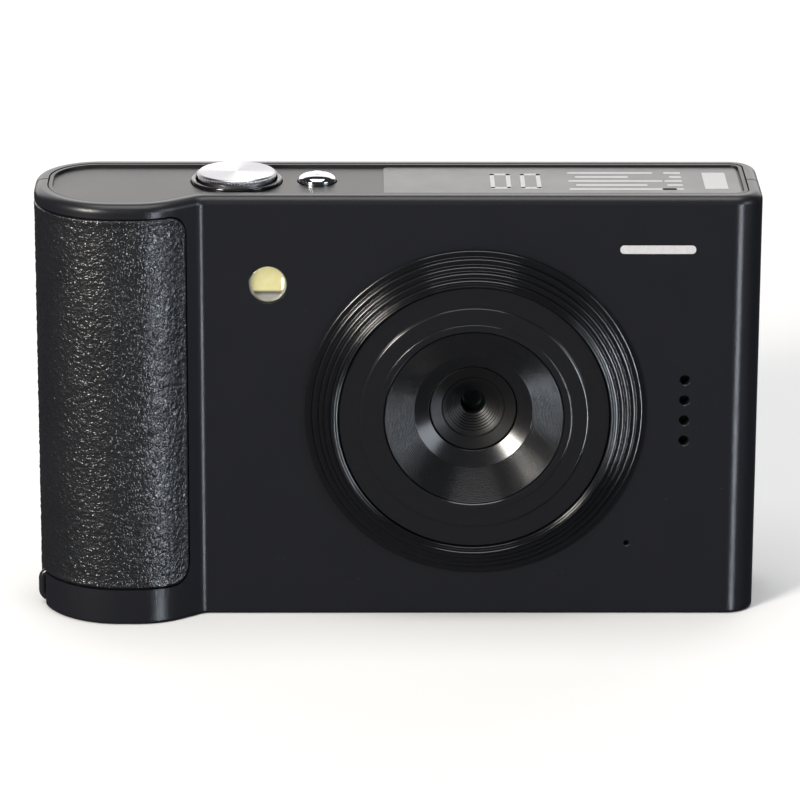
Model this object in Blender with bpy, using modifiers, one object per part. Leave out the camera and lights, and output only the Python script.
"""Compact digital camera with a fixed lens, a padded hand grip and a rear display, as separate pieces.

Design frame, in metres: X to the right seen from the front, Y from the front face (0) to the back,
Z up from the underside (0). At the end every piece hangs on one empty, which puts the origin under
the middle of the whole camera's box.
"""

import math

import bmesh
import bpy
from mathutils import Matrix, Vector

# Case
BODY_WIDTH = 0.1080
BODY_HEIGHT = 0.0654
BODY_DEPTH = 0.0210
GRIP_BULGE = 0.0048
GRIP_WIDTH = 0.0249
GRIP_SLOPE = math.radians(37.5)
GRIP_FOOT_RADIUS = 0.0025
GRIP_CREST_RADIUS = 0.0110
GRIP_SIDE_RADIUS = 0.0124
BACK_GRIP_RADIUS = 0.0095
FRONT_RIGHT_RADIUS = 0.0045
BACK_RIGHT_RADIUS = 0.0040
EDGE_FILLET = 0.0009
WALL = 0.0020
FLOOR = 0.0024
PARTING_Y = 0.0101
LEDGE_WIDTH = 0.0008
LEDGE_HEIGHT = 0.0012

# Clearances
GAP = 0.0003
FIT = 0.00015
RUNNING = 0.0001

# Top plate and its controls
PLATE_THICKNESS = 0.0016
PLATE_SINK = 0.0005
PLATE_LIP = 0.0006
PLATE_LIP_DROP = 0.00005
CONTROL_Y = 0.0106
SHUTTER_FROM_LEFT = 0.0300
SHUTTER_RADIUS = 0.00575
KNURL_RADIUS = SHUTTER_RADIUS + 0.00018
SHUTTER_RISE = 0.0011
SHUTTER_TRAVEL = 0.0008
SHUTTER_STEM_RADIUS = 0.0024
SHUTTER_TIP_RADIUS = 0.00144
SHUTTER_CROWN_RADIUS = SHUTTER_RADIUS - 0.0004
SHUTTER_CROWN_DROP = 0.00005
COLLAR_WALL = 0.00067
COLLAR_FLOOR = 0.0004
COLLAR_FLANGE = 0.0005
POWER_FROM_LEFT = 0.0420
POWER_RADIUS = 0.0028
POWER_RISE = 0.0009
POWER_TRAVEL = 0.0005
POWER_DOME_BASE = 0.00035
STEM_LENGTH = 0.0039
SWITCH_WIDTH = 0.0060
SWITCH_HEIGHT = 0.0020
SWITCH_BASE_DEPTH = 0.0074
SWITCH_PLUNGER_RADIUS = 0.0015
KEY_BOARD_THICKNESS = 0.0010
KEY_BOARD_LEFT_REACH = 0.0070
KEY_BOARD_RIGHT_REACH = 0.0050
KEY_BOARD_HALF_DEPTH = 0.0063 - WALL
LABEL_LENGTH = 0.0530
LABEL_FROM_RIGHT = WALL + 0.0011
LABEL_MARGIN = 0.0003
LABEL_THICKNESS = 0.0001
LABEL_CORNER = 0.0010
LABEL_GAP = 0.00005

# Grip pad and strap bar
PAD_RIGHT_FROM_LEFT = 0.0228
PAD_BACK_Y = 0.0094
PAD_BOTTOM = 0.0057
PAD_TOP_DROP = 0.0022
PAD_CORNER = 0.0030
PAD_THICKNESS = 0.00075
PAD_PROUD = 0.00015
STRAP_Y = 0.0050
STRAP_RADIUS = 0.0006
STRAP_LOW = 0.0009
STRAP_HIGH = 0.0052
STRAP_PROUD = 0.00035
STRAP_POCKET_DEPTH = 0.0028
STRAP_POCKET_WIDTH = 0.0036

# Lens, measured along its own axis: heights are ahead of the front face, depths are behind it
LENS_FROM_RIGHT = 0.04267
LENS_HEIGHT = 0.03225
RING_RADIUS = 0.0252
RING_HEIGHT = 0.0036
RING_TREADS = ((1.0, 0.0009), (0.956, 0.0016), (0.917, 0.0023), (0.885, 0.0029), (0.849, RING_HEIGHT))
RING_BEVEL = 0.00022
RING_SEAT_HEIGHT = 0.0019
RING_LEDGE_HEIGHT = 0.0008
RING_SPIGOT = RING_RADIUS * 0.857
PLATE_OUTER = RING_RADIUS * 0.806
RING_LEDGE = RING_RADIUS * 0.710
RING_BORE = RING_RADIUS * 0.615
RING_DEPTH = 0.0026
FUNNEL_MOUTH = RING_RADIUS * 0.534
FUNNEL_MOUTH_HEIGHT = 0.0034
FUNNEL_FLANGE_GAP = 0.0004
FUNNEL_FLANGE_HEIGHT = 0.0011
FUNNEL_WALL = 0.0008
FUNNEL_WAIST_WIDER = 0.0004
FUNNEL_WAIST_DEPTH = 0.0010
FUNNEL_END_DEPTH = 0.0022
LENS_PLATE_EDGE = 0.00012
LENS_PLATE_DROP = 0.00005
PLATE_CHAMFER_RADIUS = RING_RADIUS * 0.577
BAND_OUTER = RING_RADIUS * 0.352
BAND_INNER = RING_RADIUS * 0.2615
BAND_INNER_DEPTH = 0.0013
HOOD_STEP = 0.00416
HOOD_STEP_DEPTH = 0.0024
APERTURE = 0.00187
APERTURE_DEPTH = 0.0050
HOOD_THICKNESS = 0.0009
HOOD_FLANGE = 0.0014
ELEMENT_RADIUS = 0.00245
ELEMENT_THICKNESS = 0.0012
ELEMENT_CURVE = ((0.0, 1.0), (0.5, 0.84), (0.85, 0.4), (1.0, 0.0))
BARREL_RADIUS = 0.0055
BARREL_END_DEPTH = 0.0122
FILTER_POCKET = 0.0050
FILTER_POCKET_DEPTH = 0.0104
FILTER_WIDTH = 0.0066
FILTER_THICKNESS = 0.0003
SENSOR_WIDTH = 0.0064
SENSOR_HEIGHT = 0.0056
SENSOR_THICKNESS = 0.0008
SENSOR_BOARD_WIDTH = 0.0160
SENSOR_BOARD_THICKNESS = 0.0010

# Flash, loudspeaker and microphone behind the front face
FLASH_FROM_LEFT = 0.03474
FLASH_HEIGHT = 0.0520
FLASH_RADIUS = 0.00275
FLASH_DOME = 0.00035
FLASH_CURVE = ((0.0, 1.0), (0.6, 0.8), (0.92, 0.2), (1.0, -0.4))
FLASH_LED_WIDTH = 0.0035
FLASH_BOARD_WIDTH = 0.0086
SPEAKER_FROM_RIGHT = 0.0112
SPEAKER_HEIGHT = 0.03239
SPEAKER_PITCH = 0.00316
SPEAKER_HOLES = 4
SPEAKER_HOLE_RADIUS = 0.00075
SPEAKER_SIZE = (0.0120, 0.0032, 0.0180)
MIC_FROM_RIGHT = 0.0195
MIC_HEIGHT = 0.01135
MIC_HOLE_RADIUS = 0.0004
MIC_RADIUS = 0.0021
MIC_LENGTH = 0.0020

# Display and boards
DISPLAY_WIDTH = 0.0640
DISPLAY_HEIGHT = 0.0490
DISPLAY_FROM_RIGHT = 0.0045
DISPLAY_BOTTOM = 0.0080
DISPLAY_THICKNESS = 0.0010
DISPLAY_CORNER = 0.0015
DISPLAY_LEDGE = 0.0024
LCD_BORDER = 0.0015
LCD_THICKNESS = 0.0034
MAIN_BOARD_THICKNESS = 0.0010
MAIN_BOARD_Y = BODY_DEPTH - WALL - LCD_THICKNESS - MAIN_BOARD_THICKNESS - 2 * GAP
MAIN_BOARD_MARGIN = 0.0005
REAR_BOARD_WIDTH = 0.0265
REAR_BOARD_FROM_LEFT = 0.0100
REAR_BOARD_BOTTOM = 0.0060
REAR_BOARD_TOP_DROP = 0.0054
REAR_BOARD_THICKNESS = 0.0008
DOME_SHEET_THICKNESS = 0.0003
RIBBON_HEIGHT = 0.0080
RIBBON_MIDDLE = 0.0280
RIBBON_THICKNESS = 0.00015
RIBBON_LAP = 0.0035

# Rear keys
KEY_PROUD = 0.0005
KEY_TRAVEL = 0.0003
KEY_CLEARANCE = 0.0002
KEY_FLANGE = 0.0008
KEY_FLANGE_THICKNESS = 0.0005
KEY_PLUNGER_RADIUS = 0.0010
ROUND_KEY_RADIUS = 0.0024
CLUSTER_FROM_LEFT = 0.0235
ROUND_KEY_SPREAD = 0.0080
UPPER_KEYS_HEIGHT = 0.0440
LOWER_KEYS_HEIGHT = 0.0140
NAV_HEIGHT = 0.0290
NAV_RADIUS = 0.0090
NAV_INNER = 0.0044
NAV_SPLIT = 0.0004
OK_RADIUS = 0.0040
ZOOM_KEY_LENGTH = 0.0080
ZOOM_KEY_WIDTH = 0.0040
ZOOM_KEY_SPREAD = 0.0060
ZOOM_KEY_TOP_DROP = 0.0099
LIGHT_RADIUS = 0.0008
LIGHT_FROM_LEFT = 0.0355
LIGHT_HEIGHT = 0.0500

# Battery, its box and its door
BATTERY_FROM_LEFT = WALL + 0.0037
BATTERY_SIZE = (0.0340, 0.0054, 0.0400)
BATTERY_EDGE = 0.0008
BATTERY_BOX_WALL = 0.0008
BATTERY_FRONT_Y = WALL + 2 * GAP + BATTERY_BOX_WALL
CONTACTS_SIZE = (0.0120, 0.0040, 0.0016)
DOOR_THICKNESS = 0.0015
DOOR_MARGIN = 0.0005
DOOR_CORNER = 0.0010
KNUCKLE_RADIUS = 0.0012
HINGE_PIN_RADIUS = 0.0005
HINGE_PIN_OVERHANG = 0.0004

# Tripod nut
NUT_BORE = 0.0032
NUT_NECK = 0.0039
NUT_FLANGE = 0.0060
NUT_FLANGE_THICKNESS = 0.0038
NUT_SINK = 0.0001

# Sockets on the right-hand side
USB_HEIGHT = 0.0220
USB_SIZE = (0.0075, 0.00326, 0.00894)
USB_WALL = 0.0003
USB_TONGUE = (0.0055, 0.0007, 0.0066)
CARD_HEIGHT = 0.0400
CARD_SOCKET_SIZE = (0.0145, 0.0017, 0.0140)
CARD_SLOT = (0.0130, 0.0009, 0.0112)
SOCKET_SINK = 0.0002

# Case screws and the tabs that they go into
SCREW_HEAD_RADIUS = 0.0016
SCREW_HEAD_HEIGHT = 0.0009
SCREW_SHANK_RADIUS = 0.0007
SCREW_LENGTH = 0.0045
SCREW_SINK = 0.0001
TAB_WIDTH = 0.0044
TAB_THICKNESS = 0.0030
TAB_REACH = 0.0042
TAB_ROOT = 0.0025
BOTTOM_TAB_FROM_RIGHT = 0.0140
BOTTOM_TAB_FROM_LEFT = 0.0500
RIGHT_TAB_TOP_DROP = 0.0064
LEFT_TAB_TOP_DROP = 0.0114

# Facets
ARC_STEP = math.radians(15.0)
RING_STEPS = 40
ROUND_STEPS = 24
HOLE_STEPS = 12
KEY_STEPS = 16
WINDOW_STEPS = 20
PLUNGER_STEPS = 8
PAD_CORNER_STEPS = 4
CURVE_STEPS = 5
SMALLEST_RADIUS = 0.0002
SLIVER = 0.00001
FLAT_ANGLE = math.radians(0.5)
EDGE_ANGLE = math.radians(50)
OVERSHOOT = 0.0020

LEFT = -BODY_WIDTH / 2
RIGHT = BODY_WIDTH / 2
TOP = BODY_HEIGHT
BACK = BODY_DEPTH
PLATE_TOP = TOP - PLATE_SINK
PLATE_UNDER = PLATE_TOP - PLATE_THICKNESS
LENS_X = RIGHT - LENS_FROM_RIGHT
HINGE_Z = KNUCKLE_RADIUS + RUNNING

for old in list(bpy.data.objects):
    bpy.data.objects.remove(old, do_unlink=True)

pieces = bpy.data.collections.new("compact_camera")
tools = bpy.data.collections.new("cutters")
bpy.context.scene.collection.children.link(pieces)
bpy.context.scene.collection.children.link(tools)


# ---------------------------------------------------------------- shapes

def place(name, mesh, location=(0.0, 0.0, 0.0), facing=None):
    """A new object in the camera's collection; facing turns its local +Z to that direction."""
    piece = bpy.data.objects.new(name, mesh)
    piece.location = location
    if facing is not None:
        piece.rotation_mode = "QUATERNION"
        piece.rotation_quaternion = Vector((0, 0, 1)).rotation_difference(Vector(facing))
    pieces.objects.link(piece)
    return piece


def block(name, low, high):
    """A box between two corners, with its origin in the middle."""
    low, high = Vector(low), Vector(high)
    mesh = bpy.data.meshes.new(name)
    shape = bmesh.new()
    bmesh.ops.create_cube(shape, size=1.0)
    bmesh.ops.scale(shape, vec=high - low, verts=shape.verts)
    shape.to_mesh(mesh)
    shape.free()
    return place(name, mesh, (low + high) / 2)


def cylinder(name, radius, start, end, steps=HOLE_STEPS):
    """A round bar from start to end, with its origin half-way."""
    start, end = Vector(start), Vector(end)
    mesh = bpy.data.meshes.new(name)
    shape = bmesh.new()
    bmesh.ops.create_cone(shape, cap_ends=True, segments=steps, radius1=radius, radius2=radius,
                          depth=(end - start).length)
    shape.to_mesh(mesh)
    shape.free()
    return place(name, mesh, (start + end) / 2, end - start)


def turned(name, profile, origin, facing=(0, 0, 1), steps=ROUND_STEPS, closed=True):
    """A profile of (radius, height) points, outer side first and downward, turned about its axis."""
    mesh = bpy.data.meshes.new(name)
    links = [(i, i + 1) for i in range(len(profile) - 1)]
    if closed:
        links.append((len(profile) - 1, 0))
    mesh.from_pydata([(radius, 0.0, height) for radius, height in profile], links, [])
    piece = place(name, mesh, origin, facing)
    screw = piece.modifiers.new("turn", "SCREW")
    screw.steps = steps
    screw.render_steps = steps
    screw.use_merge_vertices = True
    screw.merge_threshold = SLIVER
    return piece


def prism(name, outline, low, high, axis="Z"):
    """A flat outline given thickness from low to high along an axis; X takes (y, z), Y takes (x, z)."""
    flat = bpy.data.curves.new(name, "CURVE")
    flat.dimensions = "2D"
    flat.fill_mode = "BOTH"
    flat.extrude = (high - low) / 2
    spline = flat.splines.new("POLY")
    spline.points.add(len(outline) - 1)
    for point, (u, v) in zip(spline.points, outline):
        point.co = (u, v, 0.0, 1.0)
    spline.use_cyclic_u = True
    middle = (low + high) / 2
    guide = bpy.data.objects.new(name + "_outline", flat)
    if axis == "X":
        guide.location = (middle, 0.0, 0.0)
        guide.rotation_euler = (math.pi / 2, 0.0, math.pi / 2)
    elif axis == "Y":
        guide.location = (0.0, middle, 0.0)
        guide.rotation_euler = (math.pi / 2, 0.0, 0.0)
    else:
        guide.location = (0.0, 0.0, middle)
    pieces.objects.link(guide)
    bpy.context.view_layer.update()
    evaluated = guide.evaluated_get(bpy.context.evaluated_depsgraph_get())
    mesh = bpy.data.meshes.new_from_object(evaluated)
    mesh.transform(guide.matrix_world)
    bpy.data.objects.remove(guide)
    shape = bmesh.new()
    shape.from_mesh(mesh)
    bmesh.ops.remove_doubles(shape, verts=shape.verts, dist=SLIVER / 10)
    bmesh.ops.dissolve_limit(shape, angle_limit=FLAT_ANGLE, verts=shape.verts, edges=shape.edges)
    shape.to_mesh(mesh)
    shape.free()
    return place(name, mesh)


def centred(piece, point):
    """Moves a piece's origin to a point, and leaves its shape where it is."""
    piece.data.transform(Matrix.Translation(-Vector(point)))
    piece.location = point
    return piece


def combine(target, tool, operation):
    """Joins a tool to a piece or cuts it away. Tools of one kind in a row share one Boolean."""
    last = target.modifiers[-1] if target.modifiers else None
    if last is None or last.type != "BOOLEAN" or last.operation != operation:
        group = bpy.data.collections.new("%s_step_%d" % (target.name, len(target.modifiers) + 1))
        tools.children.link(group)
        last = target.modifiers.new(group.name, "BOOLEAN")
        last.operation = operation
        last.operand_type = "COLLECTION"
        last.collection = group
        last.solver = "EXACT"
    last.collection.objects.link(tool)
    if tool.name in pieces.objects:
        pieces.objects.unlink(tool)
        tool.hide_render = True
        tool.display_type = "WIRE"


def cut(target, *cutters):
    for tool in cutters:
        combine(target, tool, "DIFFERENCE")


def fuse(target, *additions):
    for tool in additions:
        combine(target, tool, "UNION")


def rounded(piece, width):
    """Rounds a piece's sharp edges."""
    bevel = piece.modifiers.new("round", "BEVEL")
    bevel.width = width
    bevel.segments = 1
    bevel.limit_method = "ANGLE"
    bevel.angle_limit = EDGE_ANGLE


def weld(piece):
    """Closes up the hair-thin slivers that a cut can leave."""
    step = piece.modifiers.new("weld", "WELD")
    step.merge_threshold = SLIVER


def finish(piece, colour, roughness, metallic=0.0):
    """Gives a piece its own material."""
    material = bpy.data.materials.new(piece.name)
    material.use_nodes = True
    shader = material.node_tree.nodes["Principled BSDF"]
    shader.inputs["Base Color"].default_value = (*colour, 1.0)
    shader.inputs["Roughness"].default_value = roughness
    shader.inputs["Metallic"].default_value = metallic
    piece.data.materials.append(material)
    return piece


# ---------------------------------------------------------------- outlines

def filleted(corners, inset=0.0):
    """A polygon with round corners, moved inward; corners are (x, y, radius), counter-clockwise."""
    sides = []
    for i, corner in enumerate(corners):
        start = Vector(corner[:2])
        direction = (Vector(corners[(i + 1) % len(corners)][:2]) - start).normalized()
        inward = Vector((-direction.y, direction.x))
        sides.append((start + inward * inset, direction))
    points = []
    for i, corner in enumerate(corners):
        (base, before), (other, after) = sides[i - 1], sides[i]
        turn = before.cross(after)
        tip = base + before * ((other - base).cross(after) / turn)
        hand = math.copysign(1.0, turn)
        radius = max(corner[2] - inset * hand, SMALLEST_RADIUS)
        angle = before.angle(after)
        start = tip - before * radius * math.tan(angle / 2)
        centre = start + Vector((-before.y, before.x)) * radius * hand
        steps = max(2, math.ceil(angle / ARC_STEP))
        for k in range(steps + 1):
            points.append(centre + Matrix.Rotation(hand * angle * k / steps, 2) @ (start - centre))
    return points


def rectangle(x0, y0, x1, y1, radius=0.0, inset=0.0):
    """A rectangle between two corners, moved inward, with sharp corners unless a radius is given."""
    if radius == 0.0:
        return [(x0 + inset, y0 + inset), (x1 - inset, y0 + inset),
                (x1 - inset, y1 - inset), (x0 + inset, y1 - inset)]
    return filleted([(x0, y0, radius), (x1, y0, radius), (x1, y1, radius), (x0, y1, radius)], inset)


def case_outline(inset=0.0):
    """The case seen from above: flat back and front, and the swelling of the grip at the left."""
    foot = LEFT + GRIP_WIDTH
    crest = foot - GRIP_BULGE / math.tan(GRIP_SLOPE)
    return filleted([
        (RIGHT, BACK, BACK_RIGHT_RADIUS),
        (LEFT, BACK, BACK_GRIP_RADIUS),
        (LEFT, -GRIP_BULGE, GRIP_SIDE_RADIUS),
        (crest, -GRIP_BULGE, GRIP_CREST_RADIUS),
        (foot, 0.0, GRIP_FOOT_RADIUS),
        (RIGHT, 0.0, FRONT_RIGHT_RADIUS),
    ], inset)


def grip_strip(name, outset, thickness, grow):
    """A band that wraps the grip from its slope round to the left side, with round corners."""
    back_end = PAD_BACK_Y + grow
    slope_x = LEFT + PAD_RIGHT_FROM_LEFT + grow
    slope_y = (slope_x - LEFT - GRIP_WIDTH) * math.tan(GRIP_SLOPE)
    slope_end = Vector((slope_x + outset * math.sin(GRIP_SLOPE), slope_y - outset * math.cos(GRIP_SLOPE)))
    path = [Vector((LEFT - outset, back_end))]
    for point in case_outline(-outset):
        if point.x < slope_end.x and point.y < back_end:
            path.append(point)
    path.append(slope_end)
    places = [0.0]
    for before, after in zip(path, path[1:]):
        places.append(places[-1] + (after - before).length)
    total = places[-1]
    corner = PAD_CORNER + grow
    for k in range(1, PAD_CORNER_STEPS + 1):
        reach = corner * (1 - math.cos(math.pi / 2 * k / PAD_CORNER_STEPS))
        places += [reach, total - reach]
    places.sort()
    spaced = places[:1] + [after for before, after in zip(places, places[1:]) if after - before > SLIVER]
    mesh = bpy.data.meshes.new(name)
    shape = bmesh.new()
    rows = []
    for along in spaced:
        point = point_along(path, along)
        from_end = min(along, total - along, corner)
        short = corner - math.sqrt(corner ** 2 - (corner - from_end) ** 2)
        low = PAD_BOTTOM - grow + short
        high = TOP - PAD_TOP_DROP + grow - short
        rows.append((shape.verts.new((*point, low)), shape.verts.new((*point, high))))
    for (low_a, high_a), (low_b, high_b) in zip(rows, rows[1:]):
        shape.faces.new((low_a, low_b, high_b, high_a))
    shape.to_mesh(mesh)
    shape.free()
    strip = place(name, mesh)
    solid = strip.modifiers.new("thickness", "SOLIDIFY")
    solid.thickness = thickness
    solid.offset = -1.0
    solid.use_even_offset = True
    return strip


def point_along(path, distance):
    """The point at a distance along a chain of straight stretches."""
    for before, after in zip(path, path[1:]):
        length = (after - before).length
        if distance <= length:
            return before.lerp(after, distance / length)
        distance -= length
    return path[-1]


# ---------------------------------------------------------------- case

front_shell = prism("front_shell", case_outline(), 0.0, TOP)
rounded(front_shell, EDGE_FILLET)
rear_cover = prism("rear_cover", case_outline(), 0.0, TOP)
rounded(rear_cover, EDGE_FILLET)

ledge_top = PLATE_UNDER - GAP
ledge_bottom = ledge_top - LEDGE_HEIGHT
cavity = prism("cavity", case_outline(WALL), FLOOR, ledge_bottom)
throat = prism("throat", case_outline(WALL + LEDGE_WIDTH), ledge_bottom - LEDGE_HEIGHT, TOP)
plate_seat = prism("plate_seat", case_outline(WALL), ledge_top, TOP + OVERSHOOT)
behind = block("behind", (LEFT - OVERSHOOT, PARTING_Y - GAP / 2, -OVERSHOOT),
               (RIGHT + OVERSHOOT, BACK + OVERSHOOT, TOP + OVERSHOOT))
ahead = block("ahead", (LEFT - OVERSHOOT, -GRIP_BULGE - OVERSHOOT, -OVERSHOOT),
              (RIGHT + OVERSHOOT, PARTING_Y + GAP / 2, TOP + OVERSHOOT))
strap_stiffener = block(
    "strap_stiffener",
    (LEFT + WALL / 2, STRAP_Y - STRAP_POCKET_WIDTH / 2 - WALL, FLOOR / 2),
    (LEFT + BATTERY_FROM_LEFT - BATTERY_BOX_WALL - 2 * GAP, STRAP_Y + STRAP_POCKET_WIDTH / 2 + WALL / 2,
     STRAP_HIGH + STRAP_RADIUS + WALL))
cut(front_shell, cavity, throat, plate_seat)
fuse(front_shell, strap_stiffener)
cut(front_shell, behind)
cut(rear_cover, cavity, throat, plate_seat, ahead)
finish(front_shell, (0.017, 0.018, 0.021), 0.35)
finish(rear_cover, (0.017, 0.018, 0.021), 0.40)

# ---------------------------------------------------------------- grip pad and strap bar

grip_pad = grip_strip("grip_pad", PAD_PROUD, PAD_THICKNESS, 0.0)
finish(grip_pad, (0.016, 0.016, 0.018), 0.5)
pad_recess = grip_strip("pad_recess", OVERSHOOT, OVERSHOOT + PAD_THICKNESS - PAD_PROUD + GAP, FIT)
cut(front_shell, pad_recess)

strap_pocket = block(
    "strap_pocket",
    (LEFT - OVERSHOOT, STRAP_Y - STRAP_POCKET_WIDTH / 2, -OVERSHOOT),
    (LEFT + STRAP_POCKET_DEPTH, STRAP_Y + STRAP_POCKET_WIDTH / 2, STRAP_HIGH + STRAP_RADIUS + GAP))
cut(front_shell, strap_pocket)


def strap_staple():
    """A round wire bent to a flat U, its two legs pointing into the case."""
    bend = 2 * STRAP_RADIUS
    bar_x = LEFT - STRAP_PROUD + STRAP_RADIUS
    leg_x = LEFT + STRAP_POCKET_DEPTH - RUNNING
    wire = bpy.data.curves.new("strap_bar", "CURVE")
    wire.dimensions = "3D"
    wire.bevel_depth = STRAP_RADIUS
    wire.bevel_resolution = 2
    wire.use_fill_caps = True
    corner_steps = 3
    route = [(leg_x, STRAP_LOW)]
    for centre_z, start in ((STRAP_LOW + bend, -math.pi / 2), (STRAP_HIGH - bend, math.pi)):
        for k in range(corner_steps + 1):
            angle = start - math.pi / 2 * k / corner_steps
            route.append((bar_x + bend + bend * math.cos(angle), centre_z + bend * math.sin(angle)))
    route.append((leg_x, STRAP_HIGH))
    spline = wire.splines.new("POLY")
    spline.points.add(len(route) - 1)
    for point, (x, z) in zip(spline.points, route):
        point.co = (x, STRAP_Y, z, 1.0)
    bar = bpy.data.objects.new("strap_bar", wire)
    pieces.objects.link(bar)
    return bar


strap_bar = strap_staple()
finish(strap_bar, (0.02, 0.02, 0.022), 0.3)

# ---------------------------------------------------------------- top plate and its controls

shutter_x = LEFT + SHUTTER_FROM_LEFT
power_x = LEFT + POWER_FROM_LEFT
collar_inner = KNURL_RADIUS + FIT
collar_outer = collar_inner + COLLAR_WALL
power_hole = POWER_RADIUS + KEY_CLEARANCE

top_plate = prism("top_plate", case_outline(WALL + FIT), PLATE_UNDER, TOP - PLATE_LIP_DROP)
plate_tray = prism("plate_tray", case_outline(WALL + FIT + PLATE_LIP), PLATE_TOP, TOP + OVERSHOOT)
collar_hole = cylinder("collar_hole", collar_outer + FIT, (shutter_x, CONTROL_Y, PLATE_UNDER - OVERSHOOT),
                       (shutter_x, CONTROL_Y, TOP + OVERSHOOT), ROUND_STEPS)
power_bore = cylinder("power_bore", power_hole, (power_x, CONTROL_Y, PLATE_UNDER - OVERSHOOT),
                      (power_x, CONTROL_Y, TOP + OVERSHOOT), ROUND_STEPS)
cut(top_plate, plate_tray, collar_hole, power_bore)
finish(top_plate, (0.02, 0.02, 0.022), 0.4)


def collar():
    """A turned cup that comes up through the plate and guides the shutter button."""
    rim = PLATE_SINK + PLATE_LIP_DROP
    floor_top = -PLATE_THICKNESS
    flange_top = -PLATE_THICKNESS - FIT
    bottom = flange_top - COLLAR_FLANGE
    stem_hole = SHUTTER_STEM_RADIUS + KEY_CLEARANCE
    profile = [
        (collar_outer - FIT, rim), (collar_outer, rim - FIT), (collar_outer, flange_top),
        (collar_outer + COLLAR_WALL, flange_top), (collar_outer + COLLAR_WALL, bottom),
        (stem_hole, bottom), (stem_hole, floor_top), (collar_inner, floor_top),
        (collar_inner, rim - FIT), (collar_inner + FIT, rim),
    ]
    return turned("shutter_collar", profile, (shutter_x, CONTROL_Y, PLATE_TOP))


def shutter():
    """A turned push button: a wide knurled head, a stem through its collar, and a snap ring below it."""
    rise = SHUTTER_RISE + PLATE_SINK
    head_bottom = -PLATE_THICKNESS + SHUTTER_TRAVEL + FIT
    ring_top = -PLATE_THICKNESS - COLLAR_FLANGE - COLLAR_FLOOR
    ring_bottom = ring_top - COLLAR_FLANGE
    ring_radius = SHUTTER_STEM_RADIUS + COLLAR_WALL
    profile = [
        (0.0, rise), (SHUTTER_CROWN_RADIUS, rise - SHUTTER_CROWN_DROP), (SHUTTER_RADIUS, rise - FIT),
        (KNURL_RADIUS, rise - 2 * FIT), (KNURL_RADIUS, head_bottom), (SHUTTER_STEM_RADIUS, head_bottom),
        (SHUTTER_STEM_RADIUS, ring_top), (ring_radius, ring_top), (ring_radius, ring_bottom),
        (SHUTTER_TIP_RADIUS, ring_bottom), (SHUTTER_TIP_RADIUS, -STEM_LENGTH), (0.0, -STEM_LENGTH),
    ]
    return turned("shutter_button", profile, (shutter_x, CONTROL_Y, PLATE_TOP), closed=False)


shutter_collar = collar()
finish(shutter_collar, (0.01, 0.01, 0.011), 0.1)
collar_room = cylinder("collar_room", collar_outer + COLLAR_WALL + GAP,
                       (shutter_x, CONTROL_Y, ledge_bottom - LEDGE_HEIGHT),
                       (shutter_x, CONTROL_Y, TOP + OVERSHOOT), ROUND_STEPS)
cut(front_shell, collar_room)
cut(rear_cover, collar_room)
shutter_button = shutter()
finish(shutter_button, (0.62, 0.62, 0.65), 0.2, 1.0)


def power():
    """A domed push button with a flange under the plate."""
    rise = POWER_RISE + PLATE_SINK
    flange_top = -PLATE_THICKNESS - FIT
    dome = rise - POWER_DOME_BASE
    profile = []
    for k in range(CURVE_STEPS + 1):
        angle = math.pi / 2 * k / CURVE_STEPS
        profile.append((POWER_RADIUS * math.sin(angle), POWER_DOME_BASE + dome * math.cos(angle)))
    profile += [
        (POWER_RADIUS, flange_top), (POWER_RADIUS + KEY_FLANGE, flange_top),
        (POWER_RADIUS + KEY_FLANGE, flange_top - COLLAR_FLANGE),
        (KEY_PLUNGER_RADIUS, flange_top - COLLAR_FLANGE), (KEY_PLUNGER_RADIUS, -STEM_LENGTH),
        (0.0, -STEM_LENGTH),
    ]
    return turned("power_button", profile, (power_x, CONTROL_Y, PLATE_TOP), closed=False)


power_button = power()
finish(power_button, (0.7, 0.7, 0.72), 0.08, 1.0)

switch_base = PLATE_TOP - SWITCH_BASE_DEPTH
switch_top = switch_base + SWITCH_HEIGHT
for switch_name, switch_x, travel in (("shutter_switch", shutter_x, SHUTTER_TRAVEL),
                                      ("power_switch", power_x, POWER_TRAVEL)):
    half = SWITCH_WIDTH / 2
    switch = block(switch_name, (switch_x - half, CONTROL_Y - half, switch_base),
                   (switch_x + half, CONTROL_Y + half, switch_top))
    fuse(switch, cylinder(switch_name + "_plunger", SWITCH_PLUNGER_RADIUS,
                          (switch_x, CONTROL_Y, switch_base + SWITCH_HEIGHT / 2),
                          (switch_x, CONTROL_Y, PLATE_TOP - STEM_LENGTH - travel - RUNNING)))
    finish(switch, (0.05, 0.05, 0.05), 0.5)
top_board_top = switch_base - GAP
top_key_board = block(
    "top_key_board",
    (shutter_x - KEY_BOARD_LEFT_REACH, CONTROL_Y - KEY_BOARD_HALF_DEPTH, top_board_top - KEY_BOARD_THICKNESS),
    (power_x + KEY_BOARD_RIGHT_REACH, CONTROL_Y + KEY_BOARD_HALF_DEPTH, top_board_top))
finish(top_key_board, (0.02, 0.12, 0.05), 0.45)

label_right = RIGHT - LABEL_FROM_RIGHT
label_edge = WALL + FIT + PLATE_LIP + LABEL_MARGIN
rating_label = prism(
    "rating_label",
    rectangle(label_right - LABEL_LENGTH, label_edge, label_right, BACK - label_edge, LABEL_CORNER),
    PLATE_TOP + LABEL_GAP, PLATE_TOP + LABEL_GAP + LABEL_THICKNESS)
finish(rating_label, (0.12, 0.12, 0.125), 0.45)

# ---------------------------------------------------------------- lens

FORWARD = (0, -1, 0)
lens_axis = (LENS_X, 0.0, LENS_HEIGHT)


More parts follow.
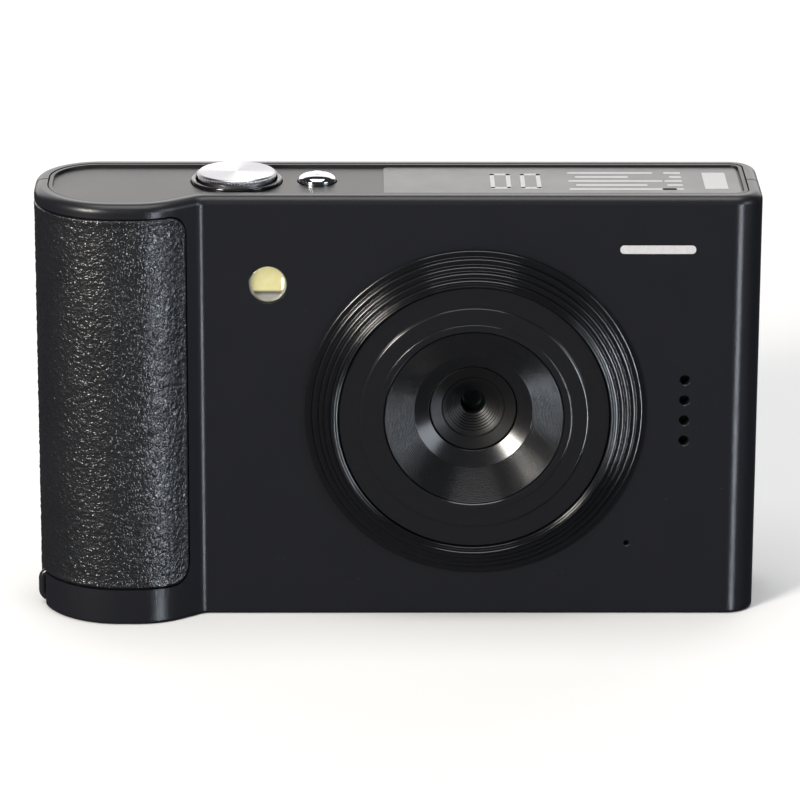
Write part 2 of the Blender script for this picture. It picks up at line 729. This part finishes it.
def stepped_ring():
    """The outer ring: steps that rise toward the middle, a spigot through the case, and two seats."""
    profile = [(PLATE_OUTER, RING_HEIGHT - RING_BEVEL), (PLATE_OUTER + RING_BEVEL, RING_HEIGHT)]
    for share, height in reversed(RING_TREADS):
        radius = RING_RADIUS * share
        if height < RING_HEIGHT:
            profile.append((profile[-1][0], height))
        profile += [(radius - RING_BEVEL, height), (radius, height - RING_BEVEL)]
    profile += [
        (RING_RADIUS, FIT), (RING_SPIGOT, FIT), (RING_SPIGOT, -RING_DEPTH), (RING_BORE, -RING_DEPTH),
        (RING_BORE, RING_LEDGE_HEIGHT), (RING_LEDGE, RING_LEDGE_HEIGHT), (RING_LEDGE, RING_SEAT_HEIGHT),
        (PLATE_OUTER, RING_SEAT_HEIGHT),
    ]
    return turned("lens_ring", profile, lens_axis, FORWARD, RING_STEPS)


def front_plate():
    """The flat black ring inside the steps, with a chamfer toward the funnel."""
    outer = PLATE_OUTER - FIT
    top = RING_HEIGHT - LENS_PLATE_DROP
    bottom = RING_SEAT_HEIGHT + GAP
    profile = [
        (PLATE_CHAMFER_RADIUS, top), (outer - LENS_PLATE_EDGE, top), (outer, top - LENS_PLATE_EDGE),
        (outer, bottom), (FUNNEL_MOUTH, bottom), (FUNNEL_MOUTH, FUNNEL_MOUTH_HEIGHT),
    ]
    return turned("lens_front_plate", profile, lens_axis, FORWARD, RING_STEPS)


def funnel():
    """The conical trim between the front plate and the small lens."""
    mouth = FUNNEL_MOUTH - FIT
    flange = RING_LEDGE - FUNNEL_FLANGE_GAP
    profile = [
        (mouth, FUNNEL_MOUTH_HEIGHT - FIT / 2), (mouth, RING_SEAT_HEIGHT), (flange, RING_SEAT_HEIGHT),
        (flange, FUNNEL_FLANGE_HEIGHT), (mouth - FUNNEL_WALL, FUNNEL_FLANGE_HEIGHT),
        (BAND_OUTER + FUNNEL_WAIST_WIDER, -FUNNEL_WAIST_DEPTH), (BAND_INNER + FUNNEL_WALL, -FUNNEL_END_DEPTH),
        (BAND_INNER, -FUNNEL_END_DEPTH), (BAND_INNER, -BAND_INNER_DEPTH), (BAND_OUTER, 0.0),
    ]
    return turned("lens_funnel", profile, lens_axis, FORWARD, RING_STEPS)


def hood():
    """The dark inner ring and the small cone that end at the lens opening."""
    outer = BAND_INNER - FIT
    flange = BAND_INNER + HOOD_FLANGE
    flange_top = -FUNNEL_END_DEPTH - GAP
    profile = [
        (outer, -BAND_INNER_DEPTH - FIT), (outer, flange_top), (flange, flange_top),
        (flange, flange_top - HOOD_THICKNESS), (HOOD_STEP + HOOD_THICKNESS, flange_top - HOOD_THICKNESS),
        (APERTURE + HOOD_THICKNESS, -APERTURE_DEPTH - HOOD_THICKNESS),
        (APERTURE, -APERTURE_DEPTH - HOOD_THICKNESS), (APERTURE, -APERTURE_DEPTH),
        (HOOD_STEP, -HOOD_STEP_DEPTH),
    ]
    return turned("lens_hood", profile, lens_axis, FORWARD, ROUND_STEPS)


lens_ring = finish(stepped_ring(), (0.012, 0.012, 0.014), 0.25)
lens_front_plate = finish(front_plate(), (0.012, 0.012, 0.013), 0.3)
lens_funnel = finish(funnel(), (0.012, 0.012, 0.014), 0.22)
lens_hood = finish(hood(), (0.008, 0.008, 0.008), 0.4)
lens_hole = cylinder("lens_hole", RING_SPIGOT + FIT, (LENS_X, -OVERSHOOT, LENS_HEIGHT),
                     (LENS_X, WALL + OVERSHOOT / 2, LENS_HEIGHT), RING_STEPS)
cut(front_shell, lens_hole)

barrel_top = -APERTURE_DEPTH - HOOD_THICKNESS - GAP
lens_barrel = turned("lens_barrel", [
    (BARREL_RADIUS, barrel_top), (BARREL_RADIUS, -BARREL_END_DEPTH), (FILTER_POCKET, -BARREL_END_DEPTH),
    (FILTER_POCKET, -FILTER_POCKET_DEPTH), (ELEMENT_RADIUS + GAP, -FILTER_POCKET_DEPTH),
    (ELEMENT_RADIUS + GAP, barrel_top),
], lens_axis, FORWARD)
finish(lens_barrel, (0.015, 0.015, 0.015), 0.5)
element_half = ELEMENT_THICKNESS / 2
element_edge = barrel_top - GAP - element_half
front_element = turned("front_element", [
    *[(ELEMENT_RADIUS * across, element_edge + element_half * up) for across, up in ELEMENT_CURVE],
    (ELEMENT_RADIUS, element_edge - element_half), (0.0, element_edge - element_half),
], lens_axis, FORWARD, closed=False)
finish(front_element, (0.05, 0.08, 0.09), 0.02)


def lens_block(name, width, height, front, thickness):
    """A flat rectangular piece square to the lens axis."""
    return block(name, (LENS_X - width / 2, front, LENS_HEIGHT - height / 2),
                 (LENS_X + width / 2, front + thickness, LENS_HEIGHT + height / 2))


filter_front = FILTER_POCKET_DEPTH + GAP
sensor_front = filter_front + FILTER_THICKNESS + GAP
sensor_board_front = BARREL_END_DEPTH + GAP
finish(lens_block("infrared_filter", FILTER_WIDTH, FILTER_WIDTH, filter_front, FILTER_THICKNESS),
       (0.2, 0.5, 0.55), 0.05)
finish(lens_block("image_sensor", SENSOR_WIDTH, SENSOR_HEIGHT, sensor_front, SENSOR_THICKNESS),
       (0.03, 0.03, 0.04), 0.2)
finish(lens_block("sensor_board", SENSOR_BOARD_WIDTH, SENSOR_BOARD_WIDTH, sensor_board_front,
                  SENSOR_BOARD_THICKNESS), (0.02, 0.12, 0.05), 0.45)

# ---------------------------------------------------------------- flash, loudspeaker, microphone

flash_x = LEFT + FLASH_FROM_LEFT
flash_axis = (flash_x, 0.0, FLASH_HEIGHT)
window_back = WALL + GAP + KEY_FLANGE_THICKNESS
flash_window = turned("flash_window", [
    *[(FLASH_RADIUS * across, FLASH_DOME * up) for across, up in FLASH_CURVE],
    (FLASH_RADIUS, -WALL - GAP), (FLASH_RADIUS + KEY_FLANGE, -WALL - GAP),
    (FLASH_RADIUS + KEY_FLANGE, -window_back), (0.0, -window_back),
], flash_axis, FORWARD, WINDOW_STEPS, closed=False)
finish(flash_window, (0.85, 0.85, 0.82), 0.05)
cut(front_shell, cylinder("flash_hole", FLASH_RADIUS + FIT, (flash_x, -OVERSHOOT, FLASH_HEIGHT),
                          (flash_x, WALL + OVERSHOOT / 2, FLASH_HEIGHT), WINDOW_STEPS))
led_front = window_back + GAP
led_half = FLASH_LED_WIDTH / 2
finish(block("flash_led", (flash_x - led_half, led_front, FLASH_HEIGHT - led_half),
             (flash_x + led_half, led_front + SENSOR_THICKNESS, FLASH_HEIGHT + led_half)),
       (0.85, 0.75, 0.25), 0.5)
flash_board_front = led_front + SENSOR_THICKNESS + GAP
board_half = FLASH_BOARD_WIDTH / 2
finish(block("flash_board", (flash_x - board_half, flash_board_front, FLASH_HEIGHT - board_half),
             (flash_x + board_half, flash_board_front + REAR_BOARD_THICKNESS, FLASH_HEIGHT + board_half)),
       (0.75, 0.75, 0.72), 0.5)

speaker_x = RIGHT - SPEAKER_FROM_RIGHT
for hole in range(SPEAKER_HOLES):
    hole_z = SPEAKER_HEIGHT + (hole - (SPEAKER_HOLES - 1) / 2) * SPEAKER_PITCH
    cut(front_shell, cylinder("speaker_hole_%d" % (hole + 1), SPEAKER_HOLE_RADIUS,
                              (speaker_x, -OVERSHOOT, hole_z), (speaker_x, WALL + OVERSHOOT / 2, hole_z)))
speaker_width, speaker_depth, speaker_length = SPEAKER_SIZE
speaker = prism("speaker", rectangle(speaker_x - speaker_width / 2, SPEAKER_HEIGHT - speaker_length / 2,
                                     speaker_x + speaker_width / 2, SPEAKER_HEIGHT + speaker_length / 2,
                                     speaker_width / 4),
                WALL + GAP, WALL + GAP + speaker_depth, "Y")
finish(speaker, (0.03, 0.03, 0.03), 0.5)
mic_x = RIGHT - MIC_FROM_RIGHT
cut(front_shell, cylinder("mic_hole", MIC_HOLE_RADIUS, (mic_x, -OVERSHOOT, MIC_HEIGHT),
                          (mic_x, WALL + OVERSHOOT / 2, MIC_HEIGHT)))
finish(cylinder("microphone", MIC_RADIUS, (mic_x, WALL + GAP, MIC_HEIGHT),
                (mic_x, WALL + GAP + MIC_LENGTH, MIC_HEIGHT)), (0.6, 0.6, 0.6), 0.3, 1.0)

# ---------------------------------------------------------------- display

display_right = RIGHT - DISPLAY_FROM_RIGHT
display_left = display_right - DISPLAY_WIDTH
display_top = DISPLAY_BOTTOM + DISPLAY_HEIGHT
display_window = prism(
    "display_window",
    rectangle(display_left, DISPLAY_BOTTOM, display_right, display_top, DISPLAY_CORNER, FIT),
    BACK - FIT - DISPLAY_THICKNESS, BACK - FIT, "Y")
finish(display_window, (0.008, 0.008, 0.01), 0.05)
display_recess = prism(
    "display_recess",
    rectangle(display_left, DISPLAY_BOTTOM, display_right, display_top, DISPLAY_CORNER),
    BACK - FIT - DISPLAY_THICKNESS - FIT, BACK + OVERSHOOT, "Y")
display_opening = prism(
    "display_opening",
    rectangle(display_left, DISPLAY_BOTTOM, display_right, display_top, 0.0, DISPLAY_LEDGE),
    BACK - WALL - OVERSHOOT / 2, BACK + OVERSHOOT, "Y")
cut(rear_cover, display_recess, display_opening)
lcd_back = BACK - WALL - GAP
lcd_front = lcd_back - LCD_THICKNESS
lcd_module = prism(
    "lcd_module",
    rectangle(display_left, DISPLAY_BOTTOM, display_right, display_top, 0.0, LCD_BORDER),
    lcd_front, lcd_back, "Y")
finish(lcd_module, (0.25, 0.25, 0.26), 0.3, 0.8)
main_board_left = display_left + LCD_BORDER + MAIN_BOARD_MARGIN
main_board = block(
    "main_board", (main_board_left, MAIN_BOARD_Y, DISPLAY_BOTTOM),
    (display_right - LCD_BORDER, MAIN_BOARD_Y + MAIN_BOARD_THICKNESS, display_top - 2 * MAIN_BOARD_MARGIN))
finish(main_board, (0.02, 0.12, 0.05), 0.45)

# ---------------------------------------------------------------- rear keys

key_seat = BACK - WALL - FIT
plunger_end = key_seat - 2 * KEY_FLANGE_THICKNESS - KEY_TRAVEL - 2 * GAP
dome_back = plunger_end - KEY_TRAVEL - RUNNING / 2
dome_front = dome_back - DOME_SHEET_THICKNESS
rear_board_back = dome_front - GAP
rear_board_front = rear_board_back - REAR_BOARD_THICKNESS
cluster_x = LEFT + CLUSTER_FROM_LEFT


def circle(x, z, radius, steps=HOLE_STEPS):
    return [Vector((x + radius * math.cos(math.tau * k / steps), z + radius * math.sin(math.tau * k / steps)))
            for k in range(steps)]


def pill(x, z, length, width):
    radius = width / 2 - SMALLEST_RADIUS / 2
    return rectangle(x - length / 2, z - width / 2, x + length / 2, z + width / 2, radius)


def key(name, cap, flange, x, z, flange_back=key_seat):
    """A key: a cap through the cover, a wider flange behind it, and a small plunger toward its dome."""
    piece = prism(name, cap, flange_back - KEY_FLANGE_THICKNESS / 2, BACK + KEY_PROUD, "Y")
    centred(piece, (x, BACK, z))
    fuse(piece, prism(name + "_flange", flange, flange_back - KEY_FLANGE_THICKNESS, flange_back, "Y"))
    fuse(piece, cylinder(name + "_plunger", KEY_PLUNGER_RADIUS, (x, plunger_end, z),
                         (x, flange_back - KEY_FLANGE_THICKNESS / 2, z), PLUNGER_STEPS))
    return finish(piece, (0.02, 0.02, 0.022), 0.35)


def key_hole(name, outline):
    cut(rear_cover, prism(name, outline, BACK - WALL - OVERSHOOT / 2, BACK + OVERSHOOT, "Y"))


round_keys = (
    ("mode_key", -1, UPPER_KEYS_HEIGHT), ("menu_key", 1, UPPER_KEYS_HEIGHT),
    ("playback_key", -1, LOWER_KEYS_HEIGHT), ("delete_key", 1, LOWER_KEYS_HEIGHT),
)
for key_name, side, key_z in round_keys:
    key_x = cluster_x + side * ROUND_KEY_SPREAD
    key(key_name, circle(key_x, key_z, ROUND_KEY_RADIUS, KEY_STEPS),
        circle(key_x, key_z, ROUND_KEY_RADIUS + KEY_FLANGE), key_x, key_z)
    key_hole(key_name + "_hole", circle(key_x, key_z, ROUND_KEY_RADIUS + KEY_CLEARANCE, KEY_STEPS))

zoom_z = TOP - ZOOM_KEY_TOP_DROP
for key_name, side in (("zoom_in_key", -1), ("zoom_out_key", 1)):
    key_x = cluster_x + side * ZOOM_KEY_SPREAD
    key(key_name, pill(key_x, zoom_z, ZOOM_KEY_LENGTH, ZOOM_KEY_WIDTH),
        pill(key_x, zoom_z, ZOOM_KEY_LENGTH + 2 * KEY_FLANGE, ZOOM_KEY_WIDTH + 2 * KEY_FLANGE), key_x, zoom_z)
    key_hole(key_name + "_hole", pill(key_x, zoom_z, ZOOM_KEY_LENGTH + 2 * KEY_CLEARANCE,
                                      ZOOM_KEY_WIDTH + 2 * KEY_CLEARANCE))


def sector(middle, inner, outer, split=NAV_SPLIT):
    """A quarter of a ring about the four-way pad's centre, with straight gaps to its neighbours."""
    points = []
    for radius, order in ((outer, 1), (inner, -1)):
        spread = math.pi / 4 - math.asin(split / 2 / radius)
        for k in range(CURVE_STEPS + 1):
            angle = middle + order * spread * (2 * k / CURVE_STEPS - 1)
            points.append((cluster_x + radius * math.cos(angle), NAV_HEIGHT + radius * math.sin(angle)))
    return points


plunger_radius = (NAV_RADIUS + NAV_INNER) / 2 + KEY_PLUNGER_RADIUS / 2
for key_name, middle in (("right_key", math.pi), ("up_key", math.pi / 2),
                         ("left_key", 0.0), ("down_key", -math.pi / 2)):
    key(key_name, sector(middle, NAV_INNER, NAV_RADIUS),
        sector(middle, NAV_INNER + RUNNING, NAV_RADIUS + KEY_FLANGE, NAV_SPLIT + 2 * RUNNING),
        cluster_x + plunger_radius * math.cos(middle), NAV_HEIGHT + plunger_radius * math.sin(middle))
key_hole("nav_hole", circle(cluster_x, NAV_HEIGHT, NAV_RADIUS + KEY_CLEARANCE, ROUND_STEPS))
ok_flange_back = key_seat - KEY_FLANGE_THICKNESS - KEY_TRAVEL - RUNNING
key("ok_key", circle(cluster_x, NAV_HEIGHT, OK_RADIUS, WINDOW_STEPS),
    circle(cluster_x, NAV_HEIGHT, OK_RADIUS + KEY_FLANGE), cluster_x, NAV_HEIGHT, ok_flange_back)

board_left = LEFT + REAR_BOARD_FROM_LEFT
board_right = board_left + REAR_BOARD_WIDTH
for board_name, front, back, colour in (
        ("key_dome_sheet", dome_front, dome_back, (0.5, 0.5, 0.5)),
        ("rear_key_board", rear_board_front, rear_board_back, (0.02, 0.12, 0.05))):
    finish(block(board_name, (board_left, front, REAR_BOARD_BOTTOM),
                 (board_right, back, TOP - REAR_BOARD_TOP_DROP)), colour, 0.45)

light_x = LEFT + LIGHT_FROM_LEFT
status_light = turned("status_light", [
    (0.0, BACK + 2 * RUNNING), (LIGHT_RADIUS, BACK), (LIGHT_RADIUS, key_seat), (2 * LIGHT_RADIUS, key_seat),
    (2 * LIGHT_RADIUS, key_seat - KEY_FLANGE_THICKNESS), (0.0, key_seat - KEY_FLANGE_THICKNESS),
], (light_x, 0.0, LIGHT_HEIGHT), (0, 1, 0), HOLE_STEPS, closed=False)
finish(status_light, (0.8, 0.8, 0.8), 0.1)
cut(rear_cover, cylinder("light_hole", LIGHT_RADIUS + KEY_CLEARANCE,
                         (light_x, BACK - WALL - OVERSHOOT, LIGHT_HEIGHT),
                         (light_x, BACK + OVERSHOOT, LIGHT_HEIGHT)))


def ribbon():
    """The flat cable from the rear key board's front to the main board's front, in one soft bend."""
    start_y = rear_board_front - GAP
    end_y = MAIN_BOARD_Y - GAP
    middle_low = RIBBON_MIDDLE - RIBBON_HEIGHT / 2
    middle_high = RIBBON_MIDDLE + RIBBON_HEIGHT / 2
    route = [(board_right - RIBBON_LAP, start_y)]
    for k in range(CURVE_STEPS + 1):
        share = k / CURVE_STEPS
        ease = (1 - math.cos(math.pi * share)) / 2
        route.append((board_right + (main_board_left - board_right) * share,
                      start_y + (end_y - start_y) * ease))
    route.append((main_board_left + RIBBON_LAP, end_y))
    mesh = bpy.data.meshes.new("key_ribbon")
    shape = bmesh.new()
    rows = [(shape.verts.new((x, y, middle_low)), shape.verts.new((x, y, middle_high))) for x, y in route]
    for (low_a, high_a), (low_b, high_b) in zip(rows, rows[1:]):
        shape.faces.new((low_a, low_b, high_b, high_a))
    shape.to_mesh(mesh)
    shape.free()
    strip = place("key_ribbon", mesh)
    solid = strip.modifiers.new("thickness", "SOLIDIFY")
    solid.thickness = RIBBON_THICKNESS
    solid.offset = 1.0
    return strip


finish(ribbon(), (0.5, 0.25, 0.05), 0.4)

# ---------------------------------------------------------------- battery, box and door

battery_width, battery_thickness, battery_height = BATTERY_SIZE
battery_left = LEFT + BATTERY_FROM_LEFT
battery_right = battery_left + battery_width
battery_back_y = BATTERY_FRONT_Y + battery_thickness
battery_bottom = FLOOR + 2 * GAP
battery_top = battery_bottom + battery_height
battery = block("battery", (battery_left, BATTERY_FRONT_Y, battery_bottom),
                (battery_right, battery_back_y, battery_top))
rounded(battery, BATTERY_EDGE)
finish(battery, (0.1, 0.12, 0.2), 0.4)
contacts_width, contacts_depth, contacts_height = CONTACTS_SIZE
contacts_bottom = battery_top + GAP
contacts_y = BATTERY_FRONT_Y + (battery_thickness - contacts_depth) / 2
finish(block("battery_contacts", (battery_right - contacts_width, contacts_y, contacts_bottom),
             (battery_right, contacts_y + contacts_depth, contacts_bottom + contacts_height)),
       (0.7, 0.55, 0.25), 0.3, 1.0)
box_top = contacts_bottom + contacts_height + GAP + BATTERY_BOX_WALL
box_grow = GAP + BATTERY_BOX_WALL
battery_box = block("battery_box", (battery_left - box_grow, BATTERY_FRONT_Y - box_grow, FLOOR + GAP),
                    (battery_right + box_grow, battery_back_y + box_grow, box_top))
cut(battery_box, block("battery_space", (battery_left - GAP, BATTERY_FRONT_Y - GAP, -OVERSHOOT),
                       (battery_right + GAP, battery_back_y + GAP, box_top - BATTERY_BOX_WALL)))
finish(battery_box, (0.03, 0.03, 0.03), 0.5)

hinge_x = battery_right + DOOR_MARGIN + KNUCKLE_RADIUS
door_left = battery_left - DOOR_MARGIN - GAP
door_front = BATTERY_FRONT_Y - DOOR_MARGIN
door_back = battery_back_y + DOOR_MARGIN
door_outline = filleted([(door_left, door_front, DOOR_CORNER), (hinge_x, door_front, SMALLEST_RADIUS),
                         (hinge_x, door_back, SMALLEST_RADIUS), (door_left, door_back, DOOR_CORNER)])
battery_door = prism("battery_door", door_outline, 0.0, DOOR_THICKNESS)
centred(battery_door, (hinge_x, (door_front + door_back) / 2, HINGE_Z))
fuse(battery_door, cylinder("knuckle", KNUCKLE_RADIUS, (hinge_x, door_front + RUNNING, HINGE_Z),
                            (hinge_x, door_back - RUNNING, HINGE_Z), WINDOW_STEPS))
cut(battery_door, cylinder("knuckle_bore", HINGE_PIN_RADIUS + RUNNING,
                           (hinge_x, door_front - OVERSHOOT, HINGE_Z),
                           (hinge_x, door_back + OVERSHOOT, HINGE_Z)))
finish(battery_door, (0.017, 0.018, 0.021), 0.4)
pin_front = door_front - FIT - HINGE_PIN_OVERHANG
pin_back = door_back + FIT + HINGE_PIN_OVERHANG
battery_door_pin = cylinder("battery_door_pin", HINGE_PIN_RADIUS, (hinge_x, pin_front, HINGE_Z),
                            (hinge_x, pin_back, HINGE_Z))
finish(battery_door_pin, (0.6, 0.6, 0.6), 0.3, 1.0)
swing_room = hinge_x + HINGE_Z + GAP
door_opening = prism(
    "door_opening",
    filleted([(door_left, door_front, DOOR_CORNER), (swing_room, door_front, SMALLEST_RADIUS),
              (swing_room, door_back, SMALLEST_RADIUS), (door_left, door_back, DOOR_CORNER)], -FIT),
    -OVERSHOOT, FLOOR + OVERSHOOT)
pin_hole = cylinder("pin_hole", HINGE_PIN_RADIUS + RUNNING, (hinge_x, pin_front - RUNNING, HINGE_Z),
                    (hinge_x, pin_back + RUNNING, HINGE_Z))
cut(front_shell, door_opening, pin_hole)

# ---------------------------------------------------------------- tripod nut

nut_flange_bottom = FLOOR + GAP
nut_flange_top = nut_flange_bottom + NUT_FLANGE_THICKNESS
tripod_nut = turned("tripod_nut", [
    (NUT_FLANGE, nut_flange_top), (NUT_FLANGE, nut_flange_bottom), (NUT_NECK, nut_flange_bottom),
    (NUT_NECK, NUT_SINK), (NUT_BORE, NUT_SINK), (NUT_BORE, nut_flange_top),
], (LENS_X, PARTING_Y, 0.0))
finish(tripod_nut, (0.55, 0.55, 0.56), 0.3, 1.0)
nut_hole = cylinder("nut_hole", NUT_NECK + FIT, (LENS_X, PARTING_Y, -OVERSHOOT),
                    (LENS_X, PARTING_Y, FLOOR + OVERSHOOT / 2), ROUND_STEPS)
cut(front_shell, nut_hole)
cut(rear_cover, nut_hole)

# ---------------------------------------------------------------- sockets on the right-hand side

usb_length, usb_thickness, usb_width = USB_SIZE
usb_y = MAIN_BOARD_Y - FIT - usb_thickness / 2


def side_pill(y, z, width, height, grow=0.0):
    """An upright outline with round ends, as (y, z)."""
    radius = width / 2 + grow - SMALLEST_RADIUS / 2
    return rectangle(y - width / 2 - grow, z - height / 2 - grow, y + width / 2 + grow, z + height / 2 + grow,
                     radius)


usb_outer = RIGHT - SOCKET_SINK
usb_socket = prism("usb_socket", side_pill(usb_y, USB_HEIGHT, usb_thickness, usb_width),
                   usb_outer - usb_length, usb_outer, "X")
tongue_length, tongue_thickness, tongue_width = USB_TONGUE
usb_back_wall = usb_outer - usb_length + 2 * USB_WALL
cut(usb_socket, prism("usb_hollow", side_pill(usb_y, USB_HEIGHT, usb_thickness, usb_width, -USB_WALL),
                      usb_back_wall, RIGHT + OVERSHOOT, "X"))
fuse(usb_socket, block(
    "usb_tongue",
    (usb_back_wall - USB_WALL, usb_y - tongue_thickness / 2, USB_HEIGHT - tongue_width / 2),
    (usb_back_wall + tongue_length, usb_y + tongue_thickness / 2, USB_HEIGHT + tongue_width / 2)))
finish(usb_socket, (0.6, 0.6, 0.6), 0.3, 1.0)
cut(rear_cover, prism("usb_opening", side_pill(usb_y, USB_HEIGHT, usb_thickness, usb_width, FIT),
                      RIGHT - WALL - OVERSHOOT / 2, RIGHT + OVERSHOOT, "X"))

card_length, card_thickness, card_width = CARD_SOCKET_SIZE
slot_length, slot_thickness, slot_width = CARD_SLOT
card_outer = RIGHT - WALL - GAP
card_back_y = MAIN_BOARD_Y - FIT
card_y = card_back_y - card_thickness / 2
card_socket = block(
    "card_socket", (card_outer - card_length, card_back_y - card_thickness, CARD_HEIGHT - card_width / 2),
    (card_outer, card_back_y, CARD_HEIGHT + card_width / 2))
card_slot = block(
    "card_slot", (card_outer - slot_length, card_y - slot_thickness / 2, CARD_HEIGHT - slot_width / 2),
    (RIGHT + OVERSHOOT, card_y + slot_thickness / 2, CARD_HEIGHT + slot_width / 2))
cut(card_socket, card_slot)
cut(rear_cover, card_slot)
finish(card_socket, (0.6, 0.6, 0.6), 0.3, 1.0)

# ---------------------------------------------------------------- case screws and their tabs

tab_reach = PARTING_Y + GAP / 2 + TAB_REACH
screw_y = tab_reach - TAB_REACH / 2


def side_wall_depth(y, corner_radius):
    """How deep the inside of a side wall lies at y, where the back corner may have begun to turn."""
    into_corner = max(0.0, y - (BACK - corner_radius))
    return corner_radius - math.sqrt((corner_radius - WALL) ** 2 - into_corner ** 2)


def tab(number, foot, inward, depth_of_wall):
    """A hook of the front shell that reaches behind the rear cover's wall, as one bent outline."""
    root = PARTING_Y - GAP / 2 - TAB_ROOT
    split = PARTING_Y - GAP / 2 - RUNNING
    start = depth_of_wall + GAP
    bend = [(root, WALL / 2), (split, WALL / 2), (split, start), (tab_reach, start),
            (tab_reach, start + TAB_THICKNESS), (root, start + TAB_THICKNESS)]
    if inward[2]:
        return prism("tab_%d" % number, [(y, depth) for y, depth in bend],
                     foot[0] - TAB_WIDTH / 2, foot[0] + TAB_WIDTH / 2, "X")
    return prism("tab_%d" % number, [(foot[0] + inward[0] * depth, y) for y, depth in bend],
                 foot[2] - TAB_WIDTH / 2, foot[2] + TAB_WIDTH / 2)


def case_screw(number, foot, inward):
    """A pan-head screw through the rear cover into its tab, with the holes that it needs."""
    foot, inward = Vector(foot), Vector(inward)
    tip = foot + inward * (SCREW_SINK + SCREW_LENGTH)
    hole = SCREW_SHANK_RADIUS + RUNNING
    cut(front_shell, cylinder("thread_hole_%d" % number, hole, foot, tip + inward * GAP))
    cut(rear_cover,
        cylinder("screw_hole_%d" % number, hole, foot - inward * OVERSHOOT, tip),
        cylinder("screw_seat_%d" % number, SCREW_HEAD_RADIUS + FIT, foot - inward * OVERSHOOT,
                 foot + inward * (SCREW_SINK + SCREW_HEAD_HEIGHT + RUNNING)))
    screw = turned("case_screw_%d" % number, [
        (0.0, 0.0), (SCREW_HEAD_RADIUS - FIT, 0.0), (SCREW_HEAD_RADIUS, -FIT),
        (SCREW_HEAD_RADIUS, -SCREW_HEAD_HEIGHT), (SCREW_SHANK_RADIUS, -SCREW_HEAD_HEIGHT),
        (SCREW_SHANK_RADIUS, -SCREW_LENGTH), (0.0, -SCREW_LENGTH),
    ], foot + inward * SCREW_SINK, -inward, HOLE_STEPS, closed=False)
    finish(screw, (0.03, 0.03, 0.03), 0.3, 1.0)


screw_places = (
    ((RIGHT - BOTTOM_TAB_FROM_RIGHT, screw_y, 0.0), (0, 0, 1), FLOOR),
    ((LEFT + BOTTOM_TAB_FROM_LEFT, screw_y, 0.0), (0, 0, 1), FLOOR),
    ((RIGHT, screw_y, TOP - RIGHT_TAB_TOP_DROP), (-1, 0, 0), side_wall_depth(tab_reach, BACK_RIGHT_RADIUS)),
    ((LEFT, screw_y, TOP - LEFT_TAB_TOP_DROP), (1, 0, 0), side_wall_depth(tab_reach, BACK_GRIP_RADIUS)),
)
weld(front_shell)
for place_number, (foot, inward, depth_of_wall) in enumerate(screw_places, 1):
    fuse(front_shell, tab(place_number, foot, inward, depth_of_wall))
for place_number, (foot, inward, depth_of_wall) in enumerate(screw_places, 1):
    case_screw(place_number, foot, inward)

# ---------------------------------------------------------------- one frame for everything

front_reach = GRIP_BULGE + PAD_PROUD
back_reach = BACK + KEY_PROUD
left_reach = max(STRAP_PROUD, PAD_PROUD)
camera_frame = bpy.data.objects.new("camera_frame", None)
camera_frame.location = (left_reach / 2, (front_reach - back_reach) / 2, 0.0)
pieces.objects.link(camera_frame)
for piece in list(pieces.objects) + list(tools.all_objects):
    if piece is not camera_frame:
        piece.parent = camera_frame
bpy.context.view_layer.update()
